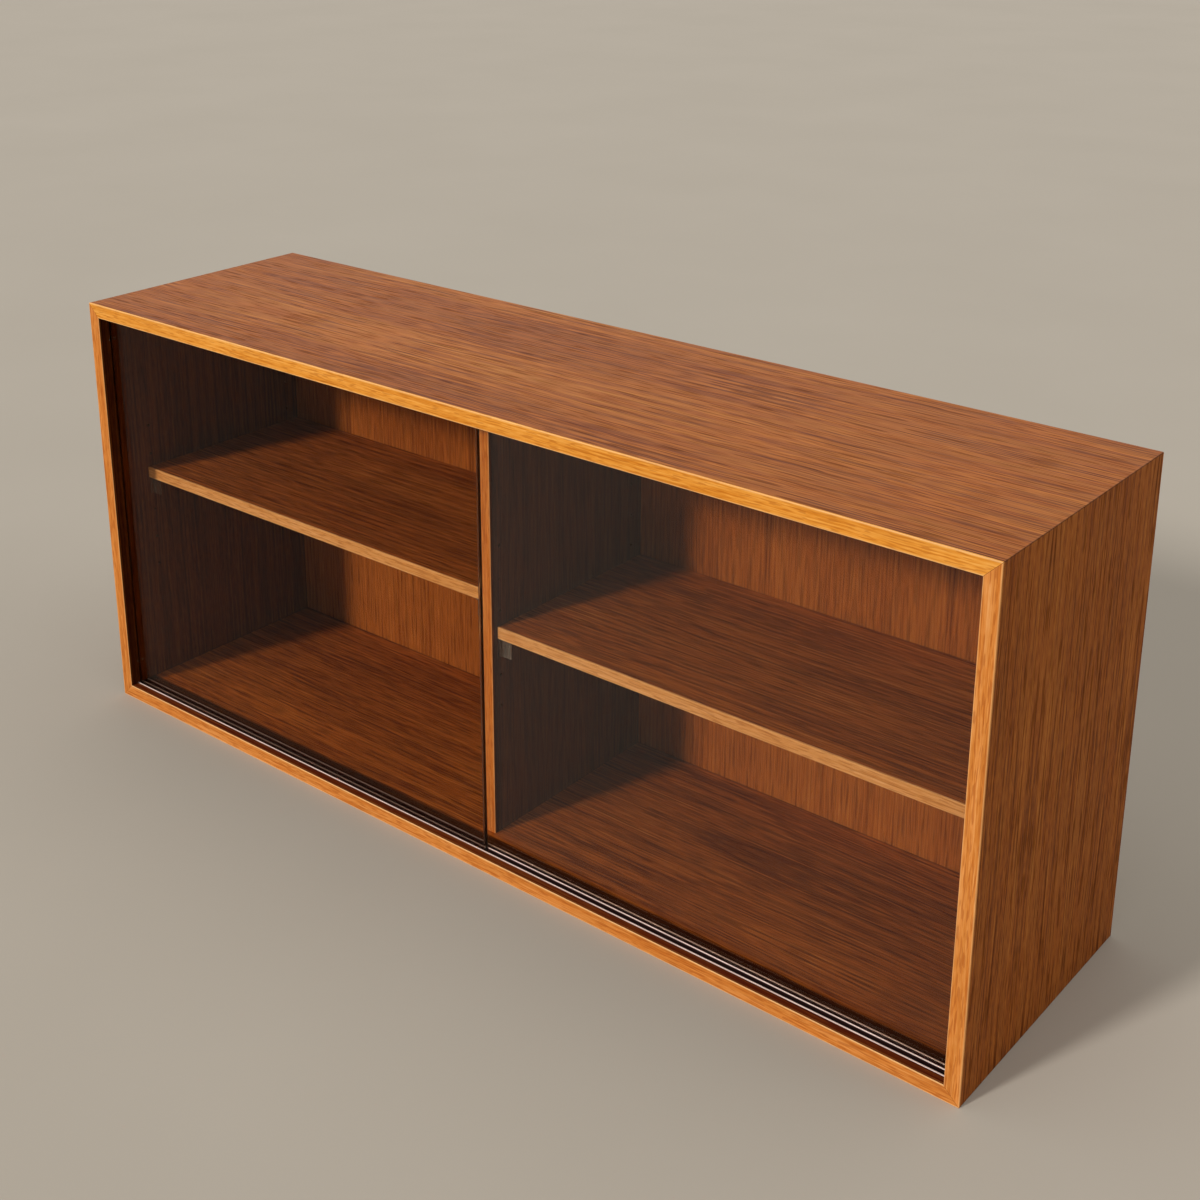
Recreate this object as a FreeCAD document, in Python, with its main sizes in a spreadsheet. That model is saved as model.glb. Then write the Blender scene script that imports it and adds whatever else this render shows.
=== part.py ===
import FreeCAD, Part
import os
import Sketcher

# A low teak bookcase: a mitred case with a centre divider, one adjustable shelf in each bay and
# two sliding glass doors that pass each other in plastic tracks.
# Millimetres, +X to the right, +Y to the back, +Z up. The origin is on the floor, at the middle
# of the case. A depth is counted from the front face of the case towards the back.

sizes = {
    # the case
    "case_width": 1600,
    "case_depth": 430,
    "case_height": 700,
    "board": 22,
    "lipping": 3,
    "arris": 0.8,
    "corner_flat": 0.8,
    "running_gap": 0.3,
    # splines glued into the mitres
    "spline_thick": 4,
    "spline_width": 16,
    "spline_inset": 10,
    # clearance around a glued or screwed piece, and past the end of it
    "joint_gap": 0.05,
    "end_gap": 0.5,
    # back panel, held in grooves and screwed to the divider
    "back_thick": 8,
    "back_inset": 18,
    "back_tongue": 7,
    # divider and its dowels
    "divider_front": 62,
    "dowel_radius": 4,
    "dowel_reach": 12,
    "dowel_first": 100,
    "dowel_pitch": 135,
    # tracks, each with two grooves between three walls
    "track_front": 13.25,
    "track_wall": 2.5,
    "track_groove": 7.8,
    "track_base": 3,
    "track_round": 0.9,
    "bottom_groove": 6,
    "bottom_proud": 1,
    "top_groove": 12,
    "top_proud": 2,
    "track_screw_first": -640,
    "track_screw_pitch": 320,
    # glass doors
    "glass_thick": 6,
    "glass_edge": 0.7,
    "left_door_end": 30,
    "right_door_end": 18,
    "door_engaged": 5.5,
    # stop pads for the doors on the sides
    "pad_ball": 3.75,
    "pad_rise": 1.5,
    "pad_height": 62,
    # shelves and their clear supports
    "shelf_thick": 18,
    "shelf_front": 72,
    "shelf_gap": 1.5,
    "shelf_back_gap": 2,
    "support_width": 20,
    "support_depth": 12,
    "support_tall": 30,
    "support_wall": 2.5,
    "support_pin_drop": 10,
    "pin_radius": 2.5,
    "pin_length": 8,
    "hole_spare": 1,
    "hole_pitch": 50,
    "front_pin": 80,
    "rear_pin": 380,
    # slotted screws: small ones in the tracks, larger ones through the back
    "track_screw_head": 2.8,
    "track_screw_cap": 1.5,
    "track_screw_shank": 1.4,
    "track_screw_long": 8,
    "back_screw_head": 3.8,
    "back_screw_cap": 2.2,
    "back_screw_shank": 1.75,
    "back_screw_long": 26,
    "back_screw_first": 60,
    "back_screw_pitch": 193,
    "slot_width": 0.9,
    "slot_deep": 0.8,
    "head_narrowing": 0.85,
}

# lengths that follow from the sizes above, as expressions on the sheet
half_width = "Sizes.case_width / 2"
inner_face = "(Sizes.case_width / 2 - Sizes.board)"
inner_height = "(Sizes.case_height - 2 * Sizes.board)"
front_face = "-Sizes.case_depth / 2"
rear_face = "Sizes.case_depth / 2"
back_front = "(Sizes.case_depth - Sizes.back_inset - Sizes.back_thick)"
track_width = "(3 * Sizes.track_wall + 2 * Sizes.track_groove)"
groove_step = "(Sizes.track_wall + Sizes.track_groove)"
front_groove = "(Sizes.track_front + Sizes.track_wall + Sizes.track_groove / 2)"
rear_groove = f"({front_groove} + {groove_step})"
door_end = f"({inner_face} - Sizes.pad_rise - Sizes.running_gap)"
door_foot = "(Sizes.board + Sizes.bottom_proud - Sizes.bottom_groove + Sizes.running_gap)"
door_top = "(Sizes.case_height - Sizes.board - Sizes.top_proud + Sizes.door_engaged)"
bay_width = f"({inner_face} - Sizes.board / 2)"
bay_middle = f"(({inner_face} + Sizes.board / 2) / 2)"
support_hole = "(Sizes.pin_radius + Sizes.joint_gap)"
dowel_hole = "(Sizes.dowel_radius + Sizes.joint_gap)"
# the cosine and the sine of the mitres' 45 degrees
slant = "sqrt(0.5)"

holes_per_column = 6
left_shelf_hole = 3
right_shelf_hole = 2
dowels_per_end = 3
screws_per_track = 5
back_screws = 4
same_place = 0.01

doc = FreeCAD.newDocument("bookcase")


def make_sheet():
    sheet = doc.addObject("Spreadsheet::Sheet", "Sizes")
    for row, (alias, value) in enumerate(sizes.items(), start=1):
        sheet.set(f"A{row}", alias)
        sheet.set(f"B{row}", str(value))
        sheet.setAlias(f"B{row}", alias)
    doc.recompute()


def depth_at(depth):
    # the row's Y of a depth behind the front face
    return f"{depth} - Sizes.case_depth / 2"


def hole_height(index):
    # heights of the support holes, spread evenly about the middle of the case
    return f"(Sizes.case_height / 2 + {index - (holes_per_column - 1) / 2} * Sizes.hole_pitch)"


def dowel_depth(index):
    return f"(Sizes.dowel_first + {index} * Sizes.dowel_pitch)"


def track_screw_x(index):
    return f"(Sizes.track_screw_first + {index} * Sizes.track_screw_pitch)"


def back_screw_height(index):
    return f"(Sizes.back_screw_first + {index} * Sizes.back_screw_pitch)"


def place(piece, x, y, z, axis=(0, 0, 1), angle=0):
    piece.Placement = FreeCAD.Placement(FreeCAD.Vector(), FreeCAD.Rotation(FreeCAD.Vector(*axis), angle))
    for direction, value in zip("xyz", (x, y, z)):
        piece.setExpression(f"Placement.Base.{direction}", value)


def bind(piece, **expressions):
    for name, value in expressions.items():
        piece.setExpression(name, value)
    return piece


def new_body(label):
    body = doc.addObject("PartDesign::Body", label)
    body.Label = label
    return body


def new_sketch(body, name, role, offset="0"):
    # a sketch on one of the body's own origin planes, moved along that plane's normal
    sketch = body.newObject("Sketcher::SketchObject", f"{body.Name}_{name}")
    plane = next(feature for feature in body.Origin.OriginFeatures if feature.Role == role)
    sketch.AttachmentSupport = (plane, [""])
    sketch.MapMode = "FlatFace"
    sketch.setExpression("AttachmentOffset.Base.z", offset)
    return sketch


def pin_point(sketch, geometry, point, x, y):
    # holds one point of the sketch at the distances x and y from its origin
    for kind, value in (("DistanceX", x), ("DistanceY", y)):
        number = sketch.evalExpression(value)
        index = sketch.addConstraint(Sketcher.Constraint(kind, -1, 1, geometry, point, number))
        sketch.setExpression(f"Constraints[{index}]", value)


def draw_outline(sketch, corners):
    points = [FreeCAD.Vector(sketch.evalExpression(x), sketch.evalExpression(y), 0) for x, y in corners]
    first = sketch.GeometryCount
    for start, end in zip(points, points[1:] + points[:1]):
        sketch.addGeometry(Part.LineSegment(start, end))
    for index, (x, y) in enumerate(corners):
        following = (index + 1) % len(corners)
        sketch.addConstraint(Sketcher.Constraint("Coincident", first + index, 2, first + following, 1))
        pin_point(sketch, first + index, 1, x, y)


def draw_rectangle(sketch, left, right, low, high):
    draw_outline(sketch, [(left, low), (right, low), (right, high), (left, high)])


def draw_circle(sketch, x, y, radius):
    centre = FreeCAD.Vector(sketch.evalExpression(x), sketch.evalExpression(y), 0)
    size = sketch.evalExpression(radius)
    geometry = sketch.addGeometry(Part.Circle(centre, FreeCAD.Vector(0, 0, 1), size))
    pin_point(sketch, geometry, 3, x, y)
    index = sketch.addConstraint(Sketcher.Constraint("Radius", geometry, size))
    sketch.setExpression(f"Constraints[{index}]", radius)


def pad(body, sketch, length, both_ways=False, reverse=False):
    feature = body.newObject("PartDesign::Pad", f"{sketch.Name}_pad")
    feature.Profile = sketch
    feature.SideType = "Symmetric" if both_ways else "One side"
    feature.Reversed = reverse
    feature.setExpression("Length", length)
    doc.recompute()
    return feature


def pocket(body, sketch, length=None, both_ways=False, reverse=False):
    # without a length the pocket goes right through
    before = body.Shape.Volume
    feature = body.newObject("PartDesign::Pocket", f"{sketch.Name}_pocket")
    feature.Profile = sketch
    feature.SideType = "Symmetric" if both_ways else "One side"
    feature.Reversed = reverse
    if length is None:
        feature.Type = "ThroughAll"
    else:
        feature.setExpression("Length", length)
    doc.recompute()
    if body.Shape.Volume >= before:
        raise RuntimeError(f"{feature.Name} cuts nothing")
    return feature


def number_of(value):
    # the number that an expression on the sheet gives
    return doc.Sizes.evalExpression(value)


def round_edge(body, name, radius, **ends):
    # rounds the edge whose two ends both have the coordinates given, such as y=-3, z=0
    base = body.Tip
    chosen = [
        f"Edge{index}" for index, edge in enumerate(base.Shape.Edges, start=1)
        if all(abs(getattr(vertex.Point, axis) - value) < same_place
               for vertex in edge.Vertexes for axis, value in ends.items())
    ]
    feature = body.newObject("PartDesign::Fillet", f"{body.Name}_{name}")
    feature.Base = (base, chosen)
    feature.setExpression("Radius", radius)
    doc.recompute()


def ease_front(body, axis, first, second):
    # rounds the two long front arrises of a strip of edging, one at each place along the axis
    front = -number_of("Sizes.lipping")
    for name, spot in (("first_arris", first), ("second_arris", second)):
        round_edge(body, name, "Sizes.arris", y=front, **{axis: number_of(spot)})


# Each board of the case is drawn lying down with its outer face at z = 0 and its inner face up,
# mitred at 45 degrees at both ends, and with its rear edge at y = 0. The case turns it into place.

def draw_mitred(sketch, length):
    # two boards together make a corner, and half of the small flat that is sanded on it is on each
    draw_outline(sketch, [
        (f"-{length} / 2 + Sizes.corner_flat", "0"),
        (f"{length} / 2 - Sizes.corner_flat", "0"),
        (f"{length} / 2 - Sizes.corner_flat / 2", "Sizes.corner_flat / 2"),
        (f"{length} / 2 - Sizes.board", "Sizes.board"),
        (f"-{length} / 2 + Sizes.board", "Sizes.board"),
        (f"-{length} / 2 + Sizes.corner_flat / 2", "Sizes.corner_flat / 2"),
    ])


def draw_spline_slot(sketch, length, side):
    # a narrow rectangle across the mitre face; side is 1 at the right end and -1 at the left
    across = f"((Sizes.spline_thick / 2 + Sizes.joint_gap) * {slant})"
    along = f"((Sizes.spline_width / 2 + Sizes.joint_gap) * {slant})"
    middle_x = f"({length} / 2 - Sizes.board + Sizes.spline_inset)"
    middle_z = "(Sizes.board - Sizes.spline_inset)"
    signs = [(-1, -1), (1, -1), (1, 1), (-1, 1)]
    draw_outline(sketch, [
        (f"{side} * ({middle_x} + {wide} * {along} + {thick} * {across})",
         f"{middle_z} + {wide} * {along} - {thick} * {across}")
        for wide, thick in signs
    ])


def mitred_board(label, length):
    body = new_body(label)
    profile = new_sketch(body, "profile", "XZ_Plane")
    draw_mitred(profile, length)
    pad(body, profile, "Sizes.case_depth - Sizes.lipping")

    slots = new_sketch(body, "spline_slots", "XZ_Plane")
    for side in (-1, 1):
        draw_spline_slot(slots, length, side)
    pocket(body, slots, reverse=True)

    groove = new_sketch(body, "back_groove", "YZ_Plane")
    draw_rectangle(
        groove,
        "-Sizes.back_inset - Sizes.back_thick",
        "-Sizes.back_inset",
        "Sizes.board - Sizes.back_tongue - Sizes.end_gap",
        "Sizes.board",
    )
    pocket(body, groove, both_ways=True)
    return body


def cut_track_recess(body, height):
    # the open channel that a track is let into, then the pilot holes for its screws
    front = "Sizes.track_front - Sizes.case_depth"
    recess = new_sketch(body, "track_recess", "YZ_Plane")
    draw_rectangle(recess, front, f"{front} + {track_width}", f"Sizes.board - {height}", "Sizes.board")
    pocket(body, recess, both_ways=True)

    pilots = new_sketch(body, "pilot_holes", "XY_Plane", f"Sizes.board - {height}")
    for index in range(screws_per_track):
        radius = "Sizes.track_screw_shank + Sizes.joint_gap"
        draw_circle(pilots, track_screw_x(index), f"{rear_groove} - Sizes.case_depth", radius)
    under_track = "Sizes.track_screw_long - Sizes.track_base + Sizes.track_screw_cap"
    pocket(body, pilots, f"{under_track} + Sizes.end_gap")


def cut_dowel_holes(body):
    holes = new_sketch(body, "dowel_holes", "XY_Plane", "Sizes.board")
    for index in range(dowels_per_end):
        draw_circle(holes, "0", f"{dowel_depth(index)} - Sizes.case_depth", dowel_hole)
    pocket(body, holes, "Sizes.dowel_reach + Sizes.end_gap")


def make_bottom_panel():
    body = mitred_board("bottom_panel", "Sizes.case_width")
    cut_track_recess(body, "(Sizes.track_base + Sizes.bottom_groove - Sizes.bottom_proud)")
    cut_dowel_holes(body)
    place(body, "0", rear_face, "0")
    return body


def make_top_panel():
    body = mitred_board("top_panel", "Sizes.case_width")
    cut_track_recess(body, "(Sizes.track_base + Sizes.top_groove - Sizes.top_proud)")
    cut_dowel_holes(body)
    place(body, "0", rear_face, "Sizes.case_height", (0, 1, 0), 180)
    return body


def make_side(label, side):
    # side is -1 on the left and 1 on the right; the support holes are in two columns
    body = mitred_board(label, "Sizes.case_height")
    holes = new_sketch(body, "support_holes", "XY_Plane", "Sizes.board")
    for depth in ("Sizes.front_pin", "Sizes.rear_pin"):
        for index in range(holes_per_column):
            along = f"{side} * ({hole_height(index)} - Sizes.case_height / 2)"
            draw_circle(holes, along, f"{depth} - Sizes.case_depth", support_hole)
    pocket(body, holes, "Sizes.pin_length + Sizes.hole_spare")
    place(body, f"{side} * {half_width}", rear_face, "Sizes.case_height / 2", (0, 1, 0), -90 * side)
    return body


def make_lipping(label, length, x, z, angle):
    # solid edging on the front of a board, mitred like it, with its front arrises eased
    body = new_body(label)
    profile = new_sketch(body, "profile", "XZ_Plane")
    draw_mitred(profile, length)
    pad(body, profile, "Sizes.lipping")
    ease_front(body, "z", "0", "Sizes.board")
    place(body, x, f"{front_face} + Sizes.lipping", z, (0, 1, 0), angle)
    return body


def draw_upright(sketch):
    draw_rectangle(sketch, "-Sizes.board / 2", "Sizes.board / 2", "0", inner_height)


def draw_back_screw_holes(sketch):
    # a vertical row up the middle of the case, counted from the inner face of the bottom panel
    for index in range(back_screws):
        height = f"{back_screw_height(index)} - Sizes.board"
        draw_circle(sketch, "0", height, "Sizes.back_screw_shank + Sizes.joint_gap")


def make_divider():
    # local frame: rear edge at y = 0, foot at z = 0, middle of the board at x = 0
    body = new_body("centre_divider")
    profile = new_sketch(body, "profile", "XZ_Plane")
    draw_upright(profile)
    pad(body, profile, f"{back_front} - Sizes.divider_front - Sizes.lipping")

    for end, offset, reverse in (("foot", "0", True), ("head", inner_height, False)):
        holes = new_sketch(body, f"{end}_dowel_holes", "XY_Plane", offset)
        for index in range(dowels_per_end):
            draw_circle(holes, "0", f"{dowel_depth(index)} - {back_front}", dowel_hole)
        pocket(body, holes, "Sizes.dowel_reach + Sizes.end_gap", reverse=reverse)

    for face, side, reverse in (("left", -1, True), ("right", 1, False)):
        holes = new_sketch(body, f"{face}_support_holes", "YZ_Plane", f"{side} * Sizes.board / 2")
        for depth in ("Sizes.front_pin", "Sizes.rear_pin"):
            for index in range(holes_per_column):
                height = f"{hole_height(index)} - Sizes.board"
                draw_circle(holes, f"{depth} - {back_front}", height, support_hole)
        pocket(body, holes, "Sizes.pin_length + Sizes.hole_spare", reverse=reverse)

    pilots = new_sketch(body, "back_screw_pilots", "XZ_Plane")
    draw_back_screw_holes(pilots)
    pocket(body, pilots, "Sizes.back_screw_long - Sizes.back_thick + Sizes.end_gap", reverse=True)
    place(body, "0", depth_at(back_front), "Sizes.board")
    return body


def make_divider_lipping():
    body = new_body("divider_lipping")
    profile = new_sketch(body, "profile", "XZ_Plane")
    draw_upright(profile)
    pad(body, profile, "Sizes.lipping")
    ease_front(body, "x", "-Sizes.board / 2", "Sizes.board / 2")
    place(body, "0", depth_at("Sizes.divider_front + Sizes.lipping"), "Sizes.board")
    return body


def make_back_panel():
    # stands in the grooves of the four boards, its rear face at y = 0
    body = new_body("back_panel")
    half = f"({inner_face} + Sizes.back_tongue)"
    profile = new_sketch(body, "profile", "XZ_Plane")
    draw_rectangle(profile, f"-{half}", half, "-Sizes.back_tongue", f"{inner_height} + Sizes.back_tongue")
    pad(body, profile, "Sizes.back_thick")
    holes = new_sketch(body, "screw_holes", "XZ_Plane")
    draw_back_screw_holes(holes)
    pocket(body, holes, reverse=True)
    place(body, "0", depth_at("Sizes.case_depth - Sizes.back_inset"), "Sizes.board")
    return body


def make_track(label, groove, z, angle):
    # local frame: under side at z = 0, front wall at y = 0, three walls with rounded tops
    body = new_body(label)
    top = f"(Sizes.track_base + {groove})"
    profile = new_sketch(body, "profile", "YZ_Plane")
    corners = [("0", "0"), (track_width, "0")]
    for wall in (2, 1, 0):
        front = f"{wall} * {groove_step}"
        corners += [(f"{front} + Sizes.track_wall", top), (front, top)]
        if wall:
            corners += [(front, "Sizes.track_base"), (f"{front} - Sizes.track_groove", "Sizes.track_base")]
    draw_outline(profile, corners)
    pad(body, profile, f"2 * {inner_face} - 2 * Sizes.running_gap", both_ways=True)
    for wall in range(3):
        for side in range(2):
            face = number_of(f"{wall} * {groove_step} + {side} * Sizes.track_wall")
            round_edge(body, f"wall_{wall}_arris_{side}", "Sizes.track_round", y=face, z=number_of(top))
    for name, radius, depth in (
        ("screw_holes", "Sizes.track_screw_shank", "Sizes.track_base"),
        ("screw_seats", "Sizes.track_screw_head", "Sizes.track_screw_cap"),
    ):
        holes = new_sketch(body, name, "XY_Plane", "Sizes.track_base")
        for index in range(screws_per_track):
            middle = f"{rear_groove} - Sizes.track_front"
            draw_circle(holes, track_screw_x(index), middle, f"{radius} + Sizes.joint_gap")
        pocket(body, holes, depth)
    place(body, "0", depth_at("Sizes.track_front"), z, (0, 1, 0), angle)
    return body


def shelf_strip(label, side, hole, rear, length):
    # part of a shelf between a side and the divider, from the depth rear forwards over the length
    body = new_body(label)
    half = f"({bay_width} / 2 - Sizes.shelf_gap)"
    profile = new_sketch(body, "profile", "XZ_Plane")
    draw_rectangle(profile, f"-{half}", half, "0", "Sizes.shelf_thick")
    pad(body, profile, length)
    under = f"{hole_height(hole)} + Sizes.support_pin_drop"
    place(body, f"{side} * {bay_middle}", depth_at(rear), under)
    return body


def make_shelf(label, side, hole):
    rear = f"({back_front} - Sizes.shelf_back_gap)"
    return shelf_strip(label, side, hole, rear, f"{rear} - Sizes.shelf_front - Sizes.lipping")


def make_shelf_lipping(label, side, hole):
    body = shelf_strip(label, side, hole, "Sizes.shelf_front + Sizes.lipping", "Sizes.lipping")
    ease_front(body, "z", "0", "Sizes.shelf_thick")
    return body


def make_support(label, side, hole, depth, end):
    # local frame: the board's face is at x = 0 and the pin goes into it towards -x
    body = new_body(label)
    low = "Sizes.support_pin_drop - Sizes.support_tall"
    high = "Sizes.support_pin_drop"
    angle_plate = new_sketch(body, "angle_plate", "XZ_Plane")
    draw_outline(angle_plate, [
        ("0", low),
        ("Sizes.support_wall", low),
        ("Sizes.support_wall", f"{high} - Sizes.support_wall"),
        ("Sizes.support_width", f"{high} - Sizes.support_wall"),
        ("Sizes.support_width", high),
        ("0", high),
    ])
    pad(body, angle_plate, "Sizes.support_depth", both_ways=True)
    web = new_sketch(body, "web", "XZ_Plane")
    draw_rectangle(web, "0", "Sizes.support_width", low, high)
    pad(body, web, "Sizes.support_wall", both_ways=True)
    peg = new_sketch(body, "peg", "YZ_Plane")
    draw_circle(peg, "0", "0", "Sizes.pin_radius")
    pad(body, peg, "Sizes.pin_length", reverse=True)
    # end is -1 where the support is on the board at the left of the bay
    face = {
        (-1, -1): f"-{inner_face}",
        (-1, 1): "-Sizes.board / 2",
        (1, -1): "Sizes.board / 2",
        (1, 1): inner_face,
    }[side, end]
    place(body, face, depth_at(depth), hole_height(hole), (0, 0, 1), 0 if end < 0 else 180)
    return body


def make_glass_door(label, side, groove):
    # side is -1 for the left door; the doors overlap beside the divider, right of the middle
    body = new_body(label)
    sheet = new_sketch(body, "sheet", "XZ_Plane")
    if side < 0:
        left, right = f"-{door_end}", "Sizes.left_door_end"
    else:
        left, right = "Sizes.right_door_end", door_end
    draw_rectangle(sheet, left, right, door_foot, door_top)
    pad(body, sheet, "Sizes.glass_thick", both_ways=True)
    # the edges around both faces are ground
    half = number_of("Sizes.glass_thick / 2")
    base = body.Tip
    around = [f"Edge{index}" for index, edge in enumerate(base.Shape.Edges, start=1)
              if abs(abs(edge.CenterOfMass.y) - half) < same_place]
    ground = body.newObject("PartDesign::Chamfer", f"{label}_ground_edges")
    ground.Base = (base, around)
    ground.setExpression("Size", "Sizes.glass_edge")
    place(body, "0", depth_at(groove), "0")
    return body


def group(label, pieces):
    # identical small pieces that share one node
    compound = doc.addObject("Part::Compound", label)
    compound.Label = label
    compound.Links = pieces
    return compound


def make_mitre_splines():
    # flat tongues across the four mitres, turned by 45 degrees
    splines = []
    offset = "Sizes.spline_inset - Sizes.board"
    spread = f"Sizes.spline_width / 2 * {slant}"
    rise = f"Sizes.spline_thick / 2 * {slant}"
    for side in (-1, 1):
        for end in (-1, 1):
            spline = doc.addObject("Part::Box", f"spline_{len(splines)}")
            bind(spline, Length="Sizes.spline_width", Height="Sizes.spline_thick",
                 Width="Sizes.case_depth - Sizes.lipping")
            middle_x = f"{side} * ({half_width} + {offset})"
            middle_z = f"(Sizes.case_height / 2 + {end} * (Sizes.case_height / 2 + {offset}))"
            # the box is turned about its own corner, which lies half its size from its middle
            tilt = side * end
            place(spline, f"{middle_x} - {spread} - {tilt} * {rise}", f"{front_face} + Sizes.lipping",
                  f"{middle_z} + {tilt} * {spread} - {rise}", (0, 1, 0), 45 * tilt)
            splines.append(spline)
    return group("mitre_splines", splines)


def make_divider_dowels():
    dowels = []
    for joint in ("Sizes.board", "Sizes.case_height - Sizes.board"):
        for index in range(dowels_per_end):
            dowel = doc.addObject("Part::Cylinder", f"dowel_{len(dowels)}")
            bind(dowel, Radius="Sizes.dowel_radius", Height="2 * Sizes.dowel_reach")
            place(dowel, "0", depth_at(dowel_depth(index)), f"{joint} - Sizes.dowel_reach")
            dowels.append(dowel)
    return group("divider_dowels", dowels)


def make_screw(name, kind, x, y, z, axis, angle):
    # a slotted screw on its own Z axis: the seat of the head is at zero and the shank points down
    shank = bind(doc.addObject("Part::Cylinder", f"{name}_shank"),
                 Radius=f"Sizes.{kind}_shank", Height=f"Sizes.{kind}_long")
    place(shank, "0", "0", f"-Sizes.{kind}_long")
    head = bind(doc.addObject("Part::Cone", f"{name}_head"),
                Radius1=f"Sizes.{kind}_head",
                Radius2=f"Sizes.{kind}_head * Sizes.head_narrowing",
                Height=f"Sizes.{kind}_cap")
    whole = doc.addObject("Part::MultiFuse", f"{name}_whole")
    whole.Shapes = [shank, head]
    # the slot is cut by a bar that reaches past both sides of the head
    slot = bind(doc.addObject("Part::Box", f"{name}_slot"),
                Length=f"4 * Sizes.{kind}_head", Width="Sizes.slot_width", Height=f"Sizes.{kind}_cap")
    place(slot, f"-2 * Sizes.{kind}_head", "-Sizes.slot_width / 2", f"Sizes.{kind}_cap - Sizes.slot_deep")
    screw = doc.addObject("Part::Cut", name)
    screw.Base = whole
    screw.Tool = slot
    place(screw, x, y, z, axis, angle)
    return screw


def make_track_screws(label, z, angle):
    middle = depth_at(rear_groove)
    return group(label, [
        make_screw(f"{label}_{index}", "track_screw", track_screw_x(index), middle, z, (0, 1, 0), angle)
        for index in range(screws_per_track)
    ])


def make_back_screws():
    rear = depth_at("Sizes.case_depth - Sizes.back_inset")
    return group("back_panel_screws", [
        make_screw(f"back_screw_{index}", "back_screw", "0", rear, back_screw_height(index), (1, 0, 0), -90)
        for index in range(back_screws)
    ])


def make_door_pads(label, side):
    # small domes on a side panel, two in line with each groove, that stop the doors
    flat = "(Sizes.pad_ball - Sizes.pad_rise)"
    pads = []
    for height in ("Sizes.pad_height", "Sizes.case_height - Sizes.pad_height"):
        for groove in (front_groove, rear_groove):
            dome = bind(doc.addObject("Part::Sphere", f"{label}_{len(pads)}"),
                        Radius="Sizes.pad_ball", Angle1=f"asin({flat} / Sizes.pad_ball)", Angle2="90")
            place(dome, f"{side} * ({inner_face} + {flat})", depth_at(groove), height,
                  (0, 1, 0), -90 * side)
            pads.append(dome)
    return group(label, pads)


def make_case():
    # heights of the closed faces of the tracks, which lie in the boards, and of their screws' seats
    track_low = "Sizes.board + Sizes.bottom_proud - Sizes.bottom_groove - Sizes.track_base"
    track_high = "Sizes.case_height - Sizes.board - Sizes.top_proud + Sizes.top_groove + Sizes.track_base"
    seat_low = f"{track_low} + Sizes.track_base - Sizes.track_screw_cap"
    seat_high = f"{track_high} - Sizes.track_base + Sizes.track_screw_cap"
    middle = "Sizes.case_height / 2"
    return [
        make_top_panel(),
        make_bottom_panel(),
        make_side("left_side", -1),
        make_side("right_side", 1),
        make_lipping("top_lipping", "Sizes.case_width", "0", "Sizes.case_height", 180),
        make_lipping("bottom_lipping", "Sizes.case_width", "0", "0", 0),
        make_lipping("left_lipping", "Sizes.case_height", f"-{half_width}", middle, 90),
        make_lipping("right_lipping", "Sizes.case_height", half_width, middle, -90),
        make_mitre_splines(),
        make_divider(),
        make_divider_lipping(),
        make_divider_dowels(),
        make_back_panel(),
        make_back_screws(),
        make_track("bottom_track", "Sizes.bottom_groove", track_low, 0),
        make_track("top_track", "Sizes.top_groove", track_high, 180),
        make_track_screws("bottom_track_screws", seat_low, 0),
        make_track_screws("top_track_screws", seat_high, 180),
        make_door_pads("left_door_pads", -1),
        make_door_pads("right_door_pads", 1),
    ]


def make_bay(name, side, hole):
    pieces = [
        make_shelf(f"{name}_shelf", side, hole),
        make_shelf_lipping(f"{name}_shelf_lipping", side, hole),
    ]
    for row, depth in (("front", "Sizes.front_pin"), ("rear", "Sizes.rear_pin")):
        for end_name, end in (("left", -1), ("right", 1)):
            label = f"{name}_shelf_{row}_{end_name}_support"
            pieces.append(make_support(label, side, hole, depth, end))
    return pieces


def check_and_write(pieces):
    doc.recompute()
    for item in doc.Objects:
        if any(word in item.State for word in ("Invalid", "Error")):
            raise RuntimeError(f"{item.Name} is {item.State}")
    os.makedirs("parts", exist_ok=True)
    for piece in pieces:
        if piece.Shape.isNull() or not piece.Shape.isValid():
            raise RuntimeError(f"{piece.Label} has no valid shape")
    for piece in pieces:
        piece.Shape.exportStep(f"parts/{piece.Label}.step")
        box = piece.Shape.BoundBox
        print(f"{piece.Label:40s} {len(piece.Shape.Solids)} solids  x {box.XMin:8.2f} {box.XMax:8.2f}"
              f"  y {box.YMin:8.2f} {box.YMax:8.2f}  z {box.ZMin:7.2f} {box.ZMax:7.2f}")


make_sheet()
pieces = make_case()
pieces += make_bay("left", -1, left_shelf_hole)
pieces += make_bay("right", 1, right_shelf_hole)
pieces.append(make_glass_door("left_glass_door", -1, front_groove))
pieces.append(make_glass_door("right_glass_door", 1, rear_groove))
check_and_write(pieces)
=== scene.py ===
import math

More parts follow.
